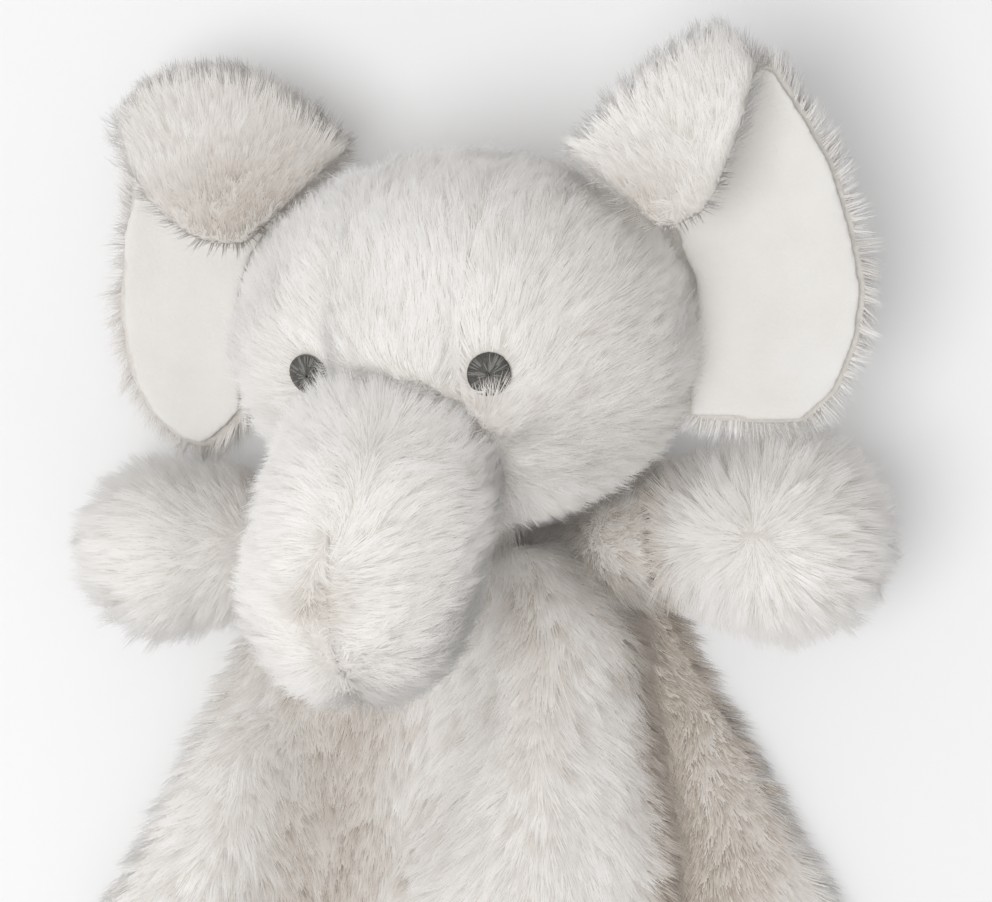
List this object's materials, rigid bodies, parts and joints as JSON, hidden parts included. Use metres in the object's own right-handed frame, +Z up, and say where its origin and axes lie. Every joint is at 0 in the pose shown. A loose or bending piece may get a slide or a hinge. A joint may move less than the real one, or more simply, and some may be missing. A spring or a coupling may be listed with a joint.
{
  "type": "plush elephant comforter",
  "caption": "Soft toy elephant with a stuffed head, trunk, folded ears and stub arms on a draped two-layer fur blanket body, lying on its back.",
  "frame": {"origin": "on the table, under the middle of the toy as it lies on its back", "axes": "+X towards the toy's own left, +Y from the hem to the top of the head, +Z up from the table, out of the face"},
  "size_m": [0.2794, 0.3392, 0.128],
  "materials": {
    "fur": "long soft pile, taupe at the base and off-white at the tips",
    "velour": "short dense off-white velour",
    "filling": "white hollow-fibre wadding",
    "thread": "charcoal embroidery thread, satin stitched",
    "sewing_thread": "off-white upholstery thread"
  },
  "bodies": {
    "blanket": {"blanket_front": "fur", "blanket_back": "velour", "neck_collar": "fur", "neck_thread": "sewing_thread"},
    "neck": {"neck_core": "filling"},
    "head": {"head_gusset": "fur", "head_side_left": "fur", "head_side_right": "fur", "head_filling": "filling", "eye_left": "thread", "eye_right": "thread"},
    "trunk_root": {"trunk_root_filling": "filling"},
    "trunk": {"trunk_left": "fur", "trunk_right": "fur", "trunk_filling": "filling"},
    "ear_left": {"ear_outer_left": "fur", "ear_lining_left": "velour"},
    "ear_right": {"ear_outer_right": "fur", "ear_lining_right": "velour"},
    "arm_left": {"arm_sleeve_left": "fur", "arm_filling_left": "filling"},
    "paw_left": {"paw_front_left": "fur", "paw_back_left": "fur", "paw_filling_left": "filling"},
    "arm_right": {"arm_sleeve_right": "fur", "arm_filling_right": "filling"},
    "paw_right": {"paw_front_right": "fur", "paw_back_right": "fur", "paw_filling_right": "filling"}
  },
  "joints": [
    {"name": "head_turn", "type": "hinge", "parent": "blanket", "child": "neck", "pos_m": [0, 0.0465, 0.04], "axis": [0, 1, 0], "range_deg": [-5, 30]},
    {"name": "head_nod", "type": "hinge", "parent": "neck", "child": "head", "pos_m": [0, 0.0465, 0.04], "axis": [1, 0, 0], "range_deg": [-6, 18]},
    {"name": "trunk_sway", "type": "hinge", "parent": "head", "child": "trunk_root", "pos_m": [-0.019, 0.0505, 0.09], "axis": [-0.3288, 0.3969, 0.857], "range_deg": [-15, 15]},
    {"name": "trunk_lift", "type": "hinge", "parent": "trunk_root", "child": "trunk", "pos_m": [-0.019, 0.0505, 0.09], "axis": [-0.9338, 0, -0.3579], "range_deg": [-15, 25]},
    {"name": "ear_left_flap", "type": "hinge", "parent": "head", "child": "ear_left", "pos_m": [0.056, 0.1, 0.064], "axis": [0.431, -0.8761, -0.216], "range_deg": [-12, 25]},
    {"name": "ear_right_flap", "type": "hinge", "parent": "head", "child": "ear_right", "pos_m": [-0.05, 0.1, 0.027], "axis": [0.358, 0.915, 0.186], "range_deg": [-6, 18]},
    {"name": "arm_left_swing", "type": "hinge", "parent": "blanket", "child": "arm_left", "pos_m": [0.043, 0.0315, 0.027], "axis": [0, 0, -1], "range_deg": [-3, 45]},
    {"name": "paw_left_raise", "type": "hinge", "parent": "arm_left", "child": "paw_left", "pos_m": [0.062, 0.033, 0.03], "axis": [0, -1, 0], "range_deg": [-8, 35]},
    {"name": "arm_right_swing", "type": "hinge", "parent": "blanket", "child": "arm_right", "pos_m": [-0.042, 0.0315, 0.026], "axis": [0, 0, 1], "range_deg": [-3, 36]},
    {"name": "paw_right_raise", "type": "hinge", "parent": "arm_right", "child": "paw_right", "pos_m": [-0.06, 0.03, 0.026], "axis": [0, 1, 0], "range_deg": [-8, 35]}
  ]
}
